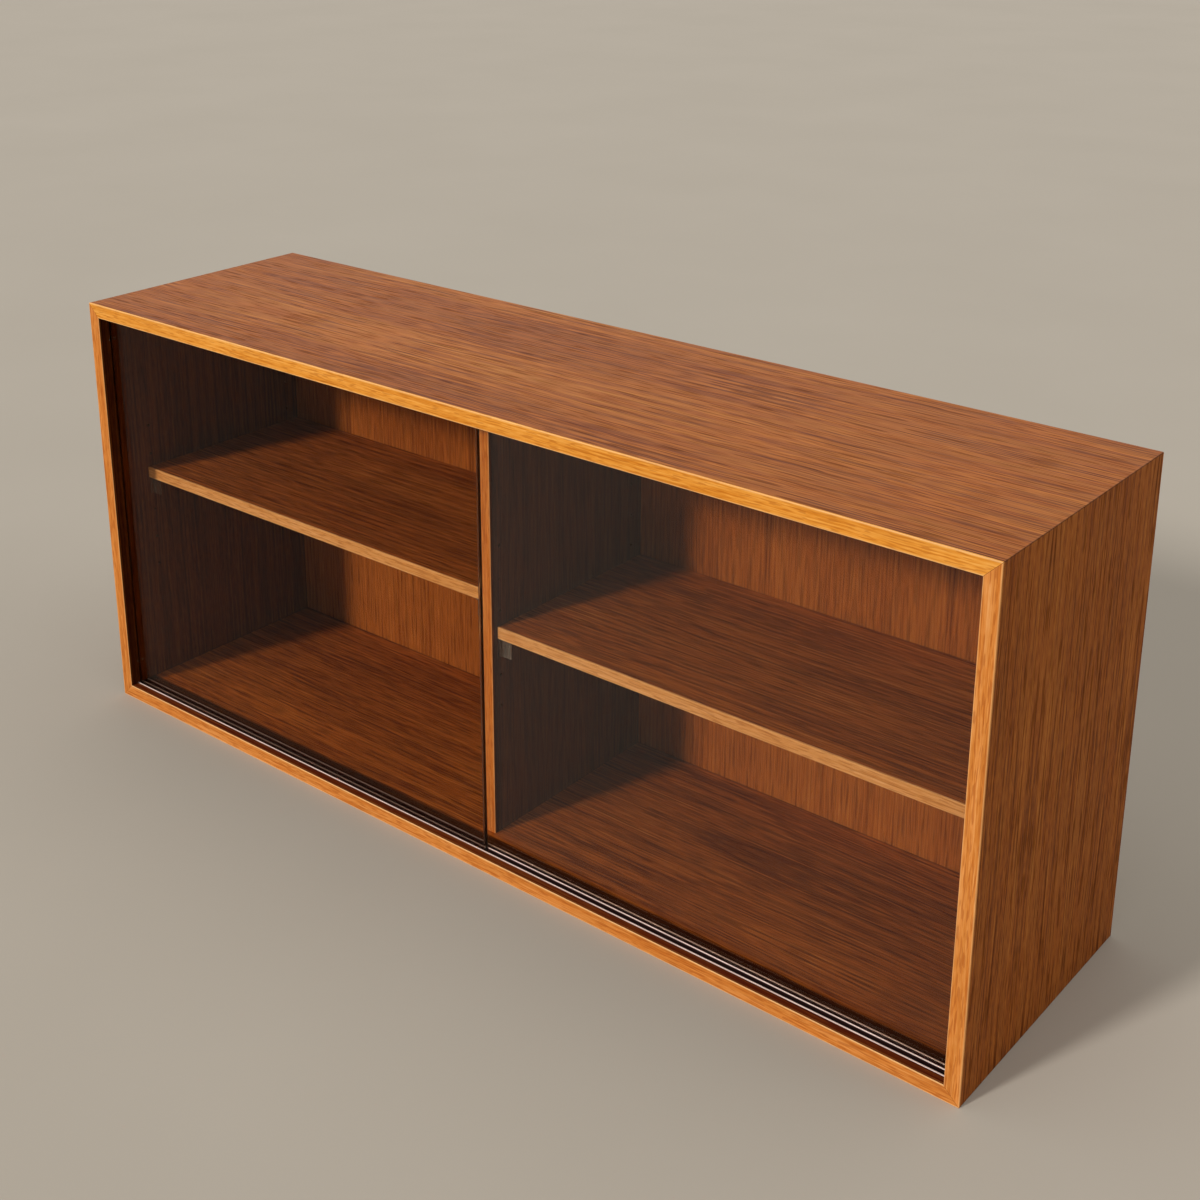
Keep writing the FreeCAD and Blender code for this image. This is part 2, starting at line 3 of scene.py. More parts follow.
import bpy
import numpy as np
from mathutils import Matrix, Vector


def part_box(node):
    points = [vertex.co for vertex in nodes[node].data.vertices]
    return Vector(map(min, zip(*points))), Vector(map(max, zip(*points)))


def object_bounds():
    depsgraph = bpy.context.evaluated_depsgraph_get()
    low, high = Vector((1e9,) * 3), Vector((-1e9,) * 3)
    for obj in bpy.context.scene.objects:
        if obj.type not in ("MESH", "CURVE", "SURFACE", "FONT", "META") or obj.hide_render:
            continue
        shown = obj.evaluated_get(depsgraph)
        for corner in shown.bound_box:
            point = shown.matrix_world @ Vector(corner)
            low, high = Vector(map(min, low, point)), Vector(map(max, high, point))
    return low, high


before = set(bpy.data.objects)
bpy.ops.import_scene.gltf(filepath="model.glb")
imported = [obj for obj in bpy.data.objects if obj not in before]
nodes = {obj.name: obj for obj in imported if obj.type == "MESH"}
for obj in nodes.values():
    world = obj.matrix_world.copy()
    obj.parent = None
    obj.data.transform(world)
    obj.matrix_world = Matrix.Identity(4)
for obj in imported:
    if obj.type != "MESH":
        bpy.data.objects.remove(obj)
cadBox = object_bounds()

# A low teak bookcase: a mitred case with edged boards, a divider, two loose shelves
# and two glass doors that slide past each other in plastic tracks.
# Metres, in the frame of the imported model: +X to the right, +Y to the back, +Z up.

mm = 0.001


def linear(hexColour):
    # sRGB hex to linear light: c / 12.92 near black, else ((c + 0.055) / 1.055) to the power 2.4
    values = [int(hexColour[i:i + 2], 16) / 255 for i in (1, 3, 5)]
    return (*[c / 12.92 if c <= 0.04045 else ((c + 0.055) / 1.055) ** 2.4 for c in values], 1.0)


def addNode(tree, kind, inputs={}, stops=(), **settings):
    # one node; an input is named or numbered, and takes a value, a given output, or the first live
    # output of a given node. A colour mix has its share at 0, its base at 6 and its top at 7.
    node = tree.nodes.new("ShaderNode" + kind)
    for name, value in settings.items():
        setattr(node, name, value)
    for number, (place, colour) in enumerate(stops):
        element = node.color_ramp.elements[number] if number < 2 else node.color_ramp.elements.new(place)
        element.position = place
        element.color = linear(colour)
    for name, value in inputs.items():
        if isinstance(value, bpy.types.Node):
            value = next(output for output in value.outputs if output.enabled)
        if isinstance(value, bpy.types.NodeSocket):
            tree.links.new(value, node.inputs[name])
        else:
            node.inputs[name].default_value = value
    return node


def newMaterial(name):
    # an empty material, its node tree, and the place on the piece in metres
    material = bpy.data.materials.new(name)
    material.use_nodes = True
    tree = material.node_tree
    tree.nodes.clear()
    return material, tree, addNode(tree, "TexCoord").outputs["Object"]


def closeTo(tree, value, level, reach):
    # one minus the distance of value from level over reach, and never below 0
    away = addNode(tree, "Math", {0: value, 1: level}, operation="SUBTRACT")
    away = addNode(tree, "Math", {0: away}, operation="ABSOLUTE")
    return addNode(tree, "MapRange", {"Value": away, "From Max": reach, "To Min": 1.0, "To Max": 0.0})


def dress(nodeName, material):
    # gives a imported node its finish, in every slot of its mesh
    piece = nodes[nodeName]
    if not piece.material_slots:
        piece.data.materials.append(material)
    for slot in piece.material_slots:
        slot.material = material


# Teak veneer, sliced, sanded and oiled: a silky brown with straight fine grain, fine dark pores
# and soft olive clouds. Lengths and widths are in mm, along the grain and across it.
# Real pores are 0.3 mm wide and grain lines 0.5 mm: both are drawn wider, so that they show.
# Roughness and index start at 0.5 and 1.5, as oiled wood has; the oil has sunk in, so that little
# of the sheen is left, which the specular level gives.
teakVeneer = {
    "darkest": "#652B0A", "dark": "#854414", "middle": "#9F551B", "light": "#AF6423", "lightest": "#C07A35",
    "darkestAt": 0.12, "darkAt": 0.34, "middleAt": 0.50, "lightAt": 0.68, "lightestAt": 0.90,
    "pore": "#4A210A", "olive": "#7F5226",
    "oliveLong": 130, "oliveWide": 17, "oliveShare": 0.18, "oliveFrom": 0.42, "oliveTo": 0.68,
    "bandLong": 1100, "bandWide": 70, "bandShare": 0.26,
    "streakLong": 500, "streakWide": 16, "streakShare": 0.10,
    "fineLong": 420, "fineWide": 4.0, "fineShare": 0.62,
    "speckLong": 38, "speckWide": 2.6, "speckShare": 0.50,
    "patchLong": 150, "patchWide": 40, "patchShare": 0.12,
    "lineLong": 460, "lineWide": 5.0, "lineFrom": 0.62, "lineTo": 0.65, "lineDepth": 0.20,
    "poreLong": 60, "poreWide": 2.2, "poreFrom": 0.58, "poreTo": 0.66, "poreShare": 0.42, "poreDepth": 0.02,
    "fleckFrom": 0.40, "fleckTo": 0.28, "fleckShare": 0.04,
    "wanderLong": 560, "wanderWide": 9, "noiseRoughness": 0.55,
    "leafWide": 148, "leafTone": 0.06,
    "roughness": 0.46, "poreRoughness": 0.2, "reliefStrength": 0.6, "ior": 1.5, "specular": 0.04,
}

# The top has been polished by years of dusting, so that it shines the most; its leaves have a
# wider figure, with broad paler and darker bands
topVeneer = dict(
    teakVeneer,
    bandWide=130, bandShare=0.46,
    fineWide=3.2, fineShare=0.98, speckShare=0.60, lineWide=4.0, lineDepth=0.28,
    middle="#A2571B", light="#B26623", oliveShare=0.24,
    specular=0.13,
)

# The shelves and the bottom have a livelier cut, with more fine stripes and pores
shelfVeneer = dict(
    teakVeneer,
    bandShare=0.42, fineWide=3.4, fineShare=1.0, speckShare=0.70,
    lineWide=4.0, lineDepth=0.22, poreShare=0.50,
)

# The sides are cut closer to the quarter, and show long straight lines from foot to top
sideVeneer = dict(
    teakVeneer,
    fineShare=0.82, speckLong=15, speckWide=3.0, speckShare=0.60,
    lineWide=5.4, lineDepth=0.18, poreWide=3.2,
)

# Solid teak edging, planed and oiled: golden, with fine straight grain and close pores
teakEdging = dict(
    teakVeneer,
    darkest="#BE6A18", dark="#D48126", middle="#E49436", light="#EFA549", lightest="#F8BB6A",
    pore="#B0601A", olive="#D08E3E", oliveLong=90, oliveWide=9, oliveShare=0.22,
    bandLong=420, bandWide=30, bandShare=0.30,
    streakLong=240, streakWide=5, streakShare=0.26,
    fineLong=120, fineWide=2.2, fineShare=0.66,
    speckLong=16, speckWide=2.0, speckShare=0.36,
    patchLong=80, patchWide=9, patchShare=0.08,
    lineLong=120, lineWide=3, lineDepth=0.14,
    poreLong=20, poreWide=1.9, poreShare=0.46,
    fleckShare=0.06,
    wanderLong=260, wanderWide=2,
    leafWide=0,
    roughness=0.42,
)
# The strips at the sides and the foot are a redder cut of it, and the inner ones a paler one
redEdging = dict(
    teakEdging,
    darkest="#A9571A", dark="#BF6B27", middle="#D07D34", light="#DE8F48", lightest="#EBA562",
    pore="#A2501A", olive="#C07F3C",
)
paleEdging = dict(
    teakEdging,
    darkest="#B87539", dark="#CC8B4B", middle="#DC9E5C", light="#E7AF72", lightest="#F1C28D",
    pore="#AC6B35", olive="#CC985C",
)


grainLayers = ("band", "streak", "fine", "speck", "patch")


def woodGrain(tree, place, look, grain, leafAxis, shift, toneShift=0.0):
    # Colour, pores and tone of a wood. The pattern's place is the piece's own place moved by shift,
    # so that no two pieces share a figure; grain and leafAxis are 0, 1 or 2 for X, Y and Z.
    # The tone is a half, plus toneShift, plus every layer's share times its noise less a half.
    moved = addNode(tree, "Mapping", {"Vector": place, "Location": shift})
    tone = 0.5 + toneShift - sum(look[kind + "Share"] for kind in grainLayers) / 2

    if look["leafWide"]:
        # leaves of veneer lie side by side, every second one turned over, so that their figures mirror
        parts = addNode(tree, "SeparateXYZ", {0: moved}).outputs
        wide = look["leafWide"] * mm
        count = addNode(tree, "Math", {0: parts[leafAxis], 1: wide}, operation="DIVIDE")
        count = addNode(tree, "Math", {0: count}, operation="FLOOR")
        leaf = addNode(tree, "TexWhiteNoise", {"W": count}, noise_dimensions="1D")
        inputs = {axis: parts[axis] for axis in range(3)}
        inputs[leafAxis] = addNode(tree, "Math", {0: parts[leafAxis], 1: wide}, operation="PINGPONG")
        moved = addNode(tree, "CombineXYZ", inputs)
        start = tone - look["leafTone"] / 2
        tone = addNode(tree, "Math", {0: leaf, 1: look["leafTone"], 2: start}, operation="MULTIPLY_ADD")

    def layer(source, long, wide, detail):
        # noise stretched along the grain: one cycle every long mm along it and every wide mm across
        scale = [1 / (wide * mm)] * 3
        scale[grain] = 1 / (long * mm)
        stretched = addNode(tree, "Mapping", {"Vector": source, "Scale": scale})
        return addNode(tree, "TexNoise", {
            "Vector": stretched, "Scale": 1.0, "Detail": detail, "Roughness": look["noiseRoughness"],
        })

    # the grain wanders to both sides of straight by the noise less a half, times twice wanderWide;
    # this noise is a third as wide as it is long
    wander = layer(moved, look["wanderLong"], look["wanderLong"] / 3, detail=1.0).outputs["Color"]
    centred = addNode(tree, "VectorMath", {0: wander, 1: (0.5, 0.5, 0.5)}, operation="SUBTRACT")
    swing = [2 * look["wanderWide"] * mm] * 3
    swing[grain] = 0.0
    swung = addNode(tree, "VectorMath", {0: centred, 1: swing}, operation="MULTIPLY")
    along = addNode(tree, "VectorMath", {0: moved, 1: swung}, operation="ADD")

    for kind in grainLayers:
        noise = layer(along, look[kind + "Long"], look[kind + "Wide"], detail=1.0)
        tone = addNode(tree, "Math", {0: noise, 1: look[kind + "Share"], 2: tone}, operation="MULTIPLY_ADD")

    # thin dark lines run with the grain where growth was slow
    lines = layer(along, look["lineLong"], look["lineWide"], detail=1.0)
    lines = addNode(tree, "MapRange", {
        "Value": lines, "From Min": look["lineFrom"], "From Max": look["lineTo"],
    })
    tone = addNode(tree, "Math", {0: lines, 1: -look["lineDepth"], 2: tone}, operation="MULTIPLY_ADD")

    # pores are dark dashes, and the same pattern's other side gives light flecks
    dashes = layer(along, look["poreLong"], look["poreWide"], detail=0.0)
    pores = addNode(tree, "MapRange", {
        "Value": dashes, "From Min": look["poreFrom"], "From Max": look["poreTo"],
    })
    flecks = addNode(tree, "MapRange", {
        "Value": dashes, "From Min": look["fleckFrom"], "From Max": look["fleckTo"],
    })
    tone = addNode(tree, "Math", {0: flecks, 1: look["fleckShare"], 2: tone}, operation="MULTIPLY_ADD")

    shades = ("darkest", "dark", "middle", "light", "lightest")
    stops = [(look[shade + "At"], look[shade]) for shade in shades]
    figure = addNode(tree, "ValToRGB", {"Fac": tone}, stops)

    # greyer, olive clouds lie among the orange ones
    clouds = layer(along, look["oliveLong"], look["oliveWide"], detail=2.0)
    clouds = addNode(tree, "MapRange", {
        "Value": clouds, "From Min": look["oliveFrom"], "From Max": look["oliveTo"],
        "To Max": look["oliveShare"],
    })
    colour = addNode(tree, "Mix", {0: clouds, 6: figure, 7: linear(look["olive"])}, data_type="RGBA")
    deep = addNode(tree, "Math", {0: pores, 1: look["poreShare"]}, operation="MULTIPLY")
    colour = addNode(tree, "Mix", {0: deep, 6: colour, 7: linear(look["pore"])}, data_type="RGBA")
    return colour, pores, tone


def woodShader(tree, look, colour, pores):
    # pores are rougher than the oiled ground between them, by poreRoughness, and lie poreDepth below it
    rough = addNode(tree, "Math", {
        0: pores, 1: look["poreRoughness"], 2: look["roughness"],
    }, operation="MULTIPLY_ADD")
    height = addNode(tree, "Math", {0: pores, 1: -1.0}, operation="MULTIPLY")
    relief = addNode(tree, "Bump", {
        "Height": height, "Distance": look["poreDepth"] * mm, "Strength": look["reliefStrength"],
    })
    shader = addNode(tree, "BsdfPrincipled", {
        "Base Color": colour, "Roughness": rough, "Normal": relief,
        "IOR": look["ior"], "Specular IOR Level": look["specular"],
    })
    addNode(tree, "OutputMaterial", {"Surface": shader})


def caseDepths(tree, parts):
    # how far a point is inside the case's nearer side, half the width minus the size of x, and
    # inside its nearer end, the smaller of z and the height minus z
    side = addNode(tree, "Math", {0: parts[0]}, operation="ABSOLUTE")
    side = addNode(tree, "Math", {0: cadBox[1][0], 1: side}, operation="SUBTRACT")
    below = addNode(tree, "Math", {0: cadBox[1][2], 1: parts[2]}, operation="SUBTRACT")
    return side, addNode(tree, "Math", {0: parts[2], 1: below}, operation="MINIMUM")


def mitreLine(tree, parts, wide):
    # 1 on the case's mitres, where a point is as deep inside the side as inside the end,
    # falling to 0 at wide beside them
    side, end = caseDepths(tree, parts)
    difference = addNode(tree, "Math", {0: side, 1: end}, operation="SUBTRACT")
    return closeTo(tree, difference, 0.0, wide)


def insideCase(tree, parts, skin):
    # 1 on the inner faces, deeper than skin inside the case's nearest side or end, and 0 outside
    side, end = caseDepths(tree, parts)
    depth = addNode(tree, "Math", {0: side, 1: end}, operation="MINIMUM")
    return addNode(tree, "Math", {0: depth, 1: skin}, operation="GREATER_THAN")


# Painted shade: the inner faces are drawn dark and red near the front, and the upright ones stay
# dark further in. Lengths are in mm.
revealShade = {
    "reach": 42.0, "behind": 0.8, "skin": 1.0,
    "uprightShare": 0.84, "uprightColour": "#2A0504", "innerShare": 0.54,
    "levelShare": 0.82, "levelColour": "#4A0906",
}


def paintRevealShade(tree, parts, colour, front, upright):
    # the painted shade's share is greatest behind the front face and falls evenly to none at reach,
    # but on upright faces never below innerShare
    kind = "upright" if upright else "level"
    inner = insideCase(tree, parts, revealShade["skin"] * mm)
    edge = front + revealShade["behind"] * mm
    behind = addNode(tree, "Math", {0: parts[1], 1: edge}, operation="GREATER_THAN")
    near = closeTo(tree, parts[1], front, revealShade["reach"] * mm)
    near = addNode(tree, "Math", {0: near, 1: revealShade[kind + "Share"]}, operation="MULTIPLY")
    if upright:
        near = addNode(tree, "Math", {0: near, 1: revealShade["innerShare"]}, operation="MAXIMUM")
    shade = addNode(tree, "Math", {0: inner, 1: behind}, operation="MULTIPLY")
    shade = addNode(tree, "Math", {0: shade, 1: near}, operation="MULTIPLY")
    dark = linear(revealShade[kind + "Colour"])
    return addNode(tree, "Mix", {0: shade, 6: colour, 7: dark}, data_type="RGBA")


# Veneered chipboard: veneer on both faces, a dark glue line beside the edging, a black band beside
# the tracks, a painted shade line along the back panel, and the bare core of pressed chips on the back
# edge.
# Widths and sizes are in mm.
board = {
    "veneerThick": 0.9, "glueWide": 0.9, "mitreWide": 1.8, "cornerShadeWide": 4.0,
    "glue": "#35180A", "glueAndShadeShare": 0.75,
    "blackBandWide": 19.0, "blackBandSharpness": 3.0, "blackBand": "#140403", "blackBandShare": 0.9,
    "coreSkin": 0.1, "chipSize": 3.2,
    "chipDark": "#A07A55", "chipMiddle": "#C49E77", "chipLight": "#DCC09C",
    "chipDarkAt": 0.15, "chipMiddleAt": 0.5, "chipLightAt": 0.85,
    "gapFrom": 0.35, "gapTo": 0.75, "gapShare": 0.55,
}
trackOn = {"top_panel": "top_track", "bottom_panel": "bottom_track"}


def boardMaterial(name, look, grain, leafAxis, thin, shift, toneShift, mitred):
    # the wood's colour, then the painted reveal shade, the black band, the glue with the painted corner
    # shade, and the core, each mixed over what is below it; thin is the axis across the board's thickness
    material, tree, place = newMaterial(name + "Veneer")
    parts = addNode(tree, "SeparateXYZ", {0: place}).outputs
    low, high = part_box(name)
    colour, pores, _ = woodGrain(tree, place, look, grain, leafAxis, shift, toneShift)

    # glue line: within its width of the plane where the edging is glued on
    glue = closeTo(tree, parts[1], low[1], board["glueWide"] * mm)
    if mitred:
        joints = mitreLine(tree, parts, board["mitreWide"] * mm)
        glue = addNode(tree, "Math", {0: glue, 1: joints}, operation="MAXIMUM")
    # painted shade on the inner faces near the front
    if mitred or thin == 0:
        colour = paintRevealShade(tree, parts, colour, low[1], thin == 0)

    indoors = insideCase(tree, parts, board["veneerThick"] * mm)
    if name in trackOn:
        # a black band on the board from the track's rear edge on; a sharpness of 3 makes it full up
        # to the last third, where it fades
        blackBand = closeTo(tree, parts[1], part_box(trackOn[name])[1][1], board["blackBandWide"] * mm)
        blackBand = addNode(tree, "Math", {
            0: blackBand, 1: board["blackBandSharpness"],
        }, operation="MULTIPLY", use_clamp=True)
        blackBand = addNode(tree, "Math", {0: blackBand, 1: indoors}, operation="MULTIPLY")
        blackBand = addNode(tree, "Math", {0: blackBand, 1: board["blackBandShare"]}, operation="MULTIPLY")
        colour = addNode(tree, "Mix", {0: blackBand, 6: colour, 7: linear(board["blackBand"])}, data_type="RGBA")

    # painted shade: inside the case, a dark line along the back panel's front face, in the corner
    cornerShade = closeTo(tree, parts[1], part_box("back_panel")[0][1], board["cornerShadeWide"] * mm)
    cornerShade = addNode(tree, "Math", {0: cornerShade, 1: indoors}, operation="MULTIPLY")
    glue = addNode(tree, "Math", {0: glue, 1: cornerShade}, operation="MAXIMUM")
    # the glue lines and the painted corner shade take the glue's colour at one share
    glue = addNode(tree, "Math", {0: glue, 1: board["glueAndShadeShare"]}, operation="MULTIPLY")
    colour = addNode(tree, "Mix", {0: glue, 6: colour, 7: linear(board["glue"])}, data_type="RGBA")

    # bare core: on the back edge and deeper than the veneer from both faces
    middle, half = (low[thin] + high[thin]) / 2, (high[thin] - low[thin]) / 2
    inside = addNode(tree, "Math", {0: parts[thin], 1: middle}, operation="SUBTRACT")
    inside = addNode(tree, "Math", {0: inside}, operation="ABSOLUTE")
    inside = addNode(tree, "Math", {0: inside, 1: half - board["veneerThick"] * mm}, operation="LESS_THAN")
    backFace = high[1] - board["coreSkin"] * mm
    behind = addNode(tree, "Math", {0: parts[1], 1: backFace}, operation="GREATER_THAN")
    core = addNode(tree, "Math", {0: inside, 1: behind}, operation="MULTIPLY")
    chips = addNode(tree, "TexVoronoi", {"Vector": place, "Scale": 1 / (board["chipSize"] * mm)})
    stops = [(board[shade + "At"], board[shade]) for shade in ("chipDark", "chipMiddle", "chipLight")]
    chipTone = addNode(tree, "ValToRGB", {"Fac": chips.outputs["Color"]}, stops)
    gaps = addNode(tree, "MapRange", {
        "Value": chips, "From Min": board["gapFrom"], "From Max": board["gapTo"],
        "To Max": board["gapShare"],
    })
    chipped = addNode(tree, "Mix", {0: gaps, 6: chipTone, 7: linear(board["chipDark"])}, data_type="RGBA")
    colour = addNode(tree, "Mix", {0: core, 6: colour, 7: chipped}, data_type="RGBA")

    woodShader(tree, look, colour, pores)
    return material


# Edging: the arrises are eased with sandpaper, and a paler line on them is a painted highlight with
# some wear; its mitres show a thin dark glue line. Widths are in mm.
edging = {"highlightWide": 2.0, "wornHighlight": "#FFCD8C", "glueWide": 0.5, "glue": "#6A3510"}


def edgingMaterial(name, look, grain, across, shift, wornHighlight, toneShift, mitred):
    # across is the axis over the width of the strip's front face; the worn share is how pale the
    # painted highlight on its arrises is
    material, tree, place = newMaterial(name + "Solid")
    parts = addNode(tree, "SeparateXYZ", {0: place}).outputs
    low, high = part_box(name)
    colour, pores, _ = woodGrain(tree, place, look, grain, across, shift, toneShift)

    # painted highlight, with some wear: close to either long arris of the front face
    middle, half = (low[across] + high[across]) / 2, (high[across] - low[across]) / 2
    width = addNode(tree, "Math", {0: parts[across], 1: middle}, operation="SUBTRACT")
    width = addNode(tree, "Math", {0: width}, operation="ABSOLUTE")
    nearSide = closeTo(tree, width, half, edging["highlightWide"] * mm)
    nearFront = closeTo(tree, parts[1], low[1], edging["highlightWide"] * mm)
    arris = addNode(tree, "Math", {0: nearSide, 1: nearFront}, operation="MULTIPLY")
    arris = addNode(tree, "Math", {0: arris, 1: wornHighlight}, operation="MULTIPLY")
    colour = addNode(tree, "Mix", {0: arris, 6: colour, 7: linear(edging["wornHighlight"])}, data_type="RGBA")

    # painted shade on the inner faces near the front
    if mitred or across == 0:
        colour = paintRevealShade(tree, parts, colour, low[1], across == 0)

    if mitred:
        joints = mitreLine(tree, parts, edging["glueWide"] * mm)
        colour = addNode(tree, "Mix", {0: joints, 6: colour, 7: linear(edging["glue"])}, data_type="RGBA")

    woodShader(tree, look, colour, pores)
    return material


# finish, grain axis, leaf axis, thin axis, shift of the pattern in metres, tone, mitred
boards = {
    "top_panel": (topVeneer, 0, 1, 2, (0.3, 0.06, 0.4), 0.02, True),
    "bottom_panel": (shelfVeneer, 0, 1, 2, (2.1, 0.11, 1.3), -0.04, True),
    "left_side": (sideVeneer, 2, 1, 0, (3.7, 0.02, 2.2), -0.08, True),
    "right_side": (sideVeneer, 2, 1, 0, (5.2, 0.09, 0.7), 0.0, True),
    "centre_divider": (teakVeneer, 2, 1, 0, (7.9, 0.04, 3.1), -0.12, False),
    "left_shelf": (shelfVeneer, 0, 1, 2, (9.4, 0.07, 6.8), -0.04, False),
    "right_shelf": (shelfVeneer, 0, 1, 2, (11.6, 0.03, 8.2), -0.03, False),
}
for name, values in boards.items():
    dress(name, boardMaterial(name, *values))

# finish, grain axis, axis across the strip, shift, share of the painted highlight, tone, mitred
strips = {
    "top_lipping": (teakEdging, 0, 2, (1.9, 0.5, 7.3), 0.7, 0.0, True),
    "bottom_lipping": (redEdging, 0, 2, (4.6, 1.5, 9.1), 0.9, 0.0, True),
    "left_lipping": (redEdging, 2, 0, (6.2, 2.5, 11.4), 0.45, 0.0, True),
    "right_lipping": (redEdging, 2, 0, (8.8, 3.5, 13.7), 0.45, 0.05, True),
    "divider_lipping": (redEdging, 2, 0, (10.3, 4.5, 2.9), 0.45, 0.0, False),
    "left_shelf_lipping": (paleEdging, 0, 2, (12.7, 5.5, 4.1), 0.5, 0.04, False),
    "right_shelf_lipping": (paleEdging, 0, 2, (14.2, 6.5, 6.6), 0.5, 0.04, False),
}
for name, values in strips.items():
    dress(name, edgingMaterial(name, *values))

# Back panel: plywood with vertical teak leaves towards the shelves and plain gaboon veneer behind
backTeak = dict(
    teakVeneer,
    darkest="#652E0D", dark="#854718", middle="#9F5921", light="#AE6829", lightest="#BF7E3C",
    leafTone=0.09, bandShare=0.42, fineWide=3.2, fineShare=0.56, lineDepth=0.12, poreShare=0.35,
)
gaboon = {"dark": "#A9805A", "darkAt": 0.2, "light": "#C9A17A", "lightAt": 0.8, "skin": 0.1}


def backMaterial(name, shift):
    # teak everywhere but on the rear face, where gaboon's pale ramp reads the same tone
    material, tree, place = newMaterial(name + "Veneer")
    parts = addNode(tree, "SeparateXYZ", {0: place}).outputs
    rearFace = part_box(name)[1][1] - gaboon["skin"] * mm
    teak, pores, tone = woodGrain(tree, place, backTeak, 2, 0, shift)
    stops = [(gaboon[shade + "At"], gaboon[shade]) for shade in ("dark", "light")]
    plain = addNode(tree, "ValToRGB", {"Fac": tone}, stops)
    behind = addNode(tree, "Math", {0: parts[1], 1: rearFace}, operation="GREATER_THAN")
    colour = addNode(tree, "Mix", {0: behind, 6: teak, 7: plain}, data_type="RGBA")
    woodShader(tree, backTeak, colour, pores)
    return material


dress("back_panel", backMaterial("back_panel", (0.05, 4.4, 5.3)))
print("teak done")


# Float glass with a light smoke tint: mirror smooth, with ground upright ends that show as dark lines.
# clear is what the whole pane lets through; the index of refraction starts at 1.52 and is brought
# down, because these panes reflect far less than bare glass, the front one least
smokedGlass = {"clear": "#F0E6DA", "ground": "#2A2420", "groundWide": 0.8, "groundRoughness": 0.35}
doorGlass = {
    "left_glass_door": dict(smokedGlass, ior=1.13),
    "right_glass_door": dict(smokedGlass, ior=1.31),
}


def thinGlass(tree, body, clear):
    # lamps and bounced light pass straight through, tinted, as through real glass: a ray crosses
    # two faces, so each takes the square root of what the whole pane lets through
    face = (*[c ** 0.5 for c in linear(clear)[:3]], 1.0)
    straight = addNode(tree, "BsdfTransparent", {"Color": face})
    rays = addNode(tree, "LightPath").outputs
    passed = addNode(tree, "Math", {
        0: rays["Is Shadow Ray"], 1: rays["Is Diffuse Ray"],
    }, operation="MAXIMUM")
    surface = addNode(tree, "MixShader", {0: passed, 1: body, 2: straight})
    addNode(tree, "OutputMaterial", {"Surface": surface})


def doorMaterial(name, look):
    # clear glass, but dark and rough within groundWide of the pane's left and right ends
    material, tree, place = newMaterial(name + "FloatGlass")
    parts = addNode(tree, "SeparateXYZ", {0: place}).outputs
    low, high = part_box(name)
    ends = addNode(tree, "Math", {
        0: closeTo(tree, parts[0], low[0], look["groundWide"] * mm),
        1: closeTo(tree, parts[0], high[0], look["groundWide"] * mm),
    }, operation="MAXIMUM")
    colour = addNode(tree, "Mix", {
        0: ends, 6: linear(look["clear"]), 7: linear(look["ground"]),
    }, data_type="RGBA")
    rough = addNode(tree, "Math", {0: ends, 1: look["groundRoughness"]}, operation="MULTIPLY")
    body = addNode(tree, "BsdfPrincipled", {
        "Base Color": colour, "Transmission Weight": 1.0, "IOR": look["ior"], "Roughness": rough,
    })
    thinGlass(tree, body, look["clear"])
    return material


for name, look in doorGlass.items():
    dress(name, doorMaterial(name, look))
print("glass done")


# Extruded PVC, dark oxblood and semi-gloss; the crowns of the walls carry a painted highlight, pale
# and broken by the doors' rubbing, and painted shade dims it again behind the panes. crownBand is in mm,
# scuffs are counted per metre; real ones are finer across the track.
trackPlastic = {
    "body": "#200806", "crownHighlight": "#FFDFCF", "crownBand": 1.0,
    "scuffsAlong": 25.0, "scuffsAcross": 900.0, "rubbedFrom": 0.2, "rubbedTo": 0.6, "rubbedLeast": 0.55,
    "paneShadeLeft": 0.80, "paneShadeRear": 0.45,
    "roughness": 0.23, "scuffRoughness": 0.15, "ior": 1.54,
}


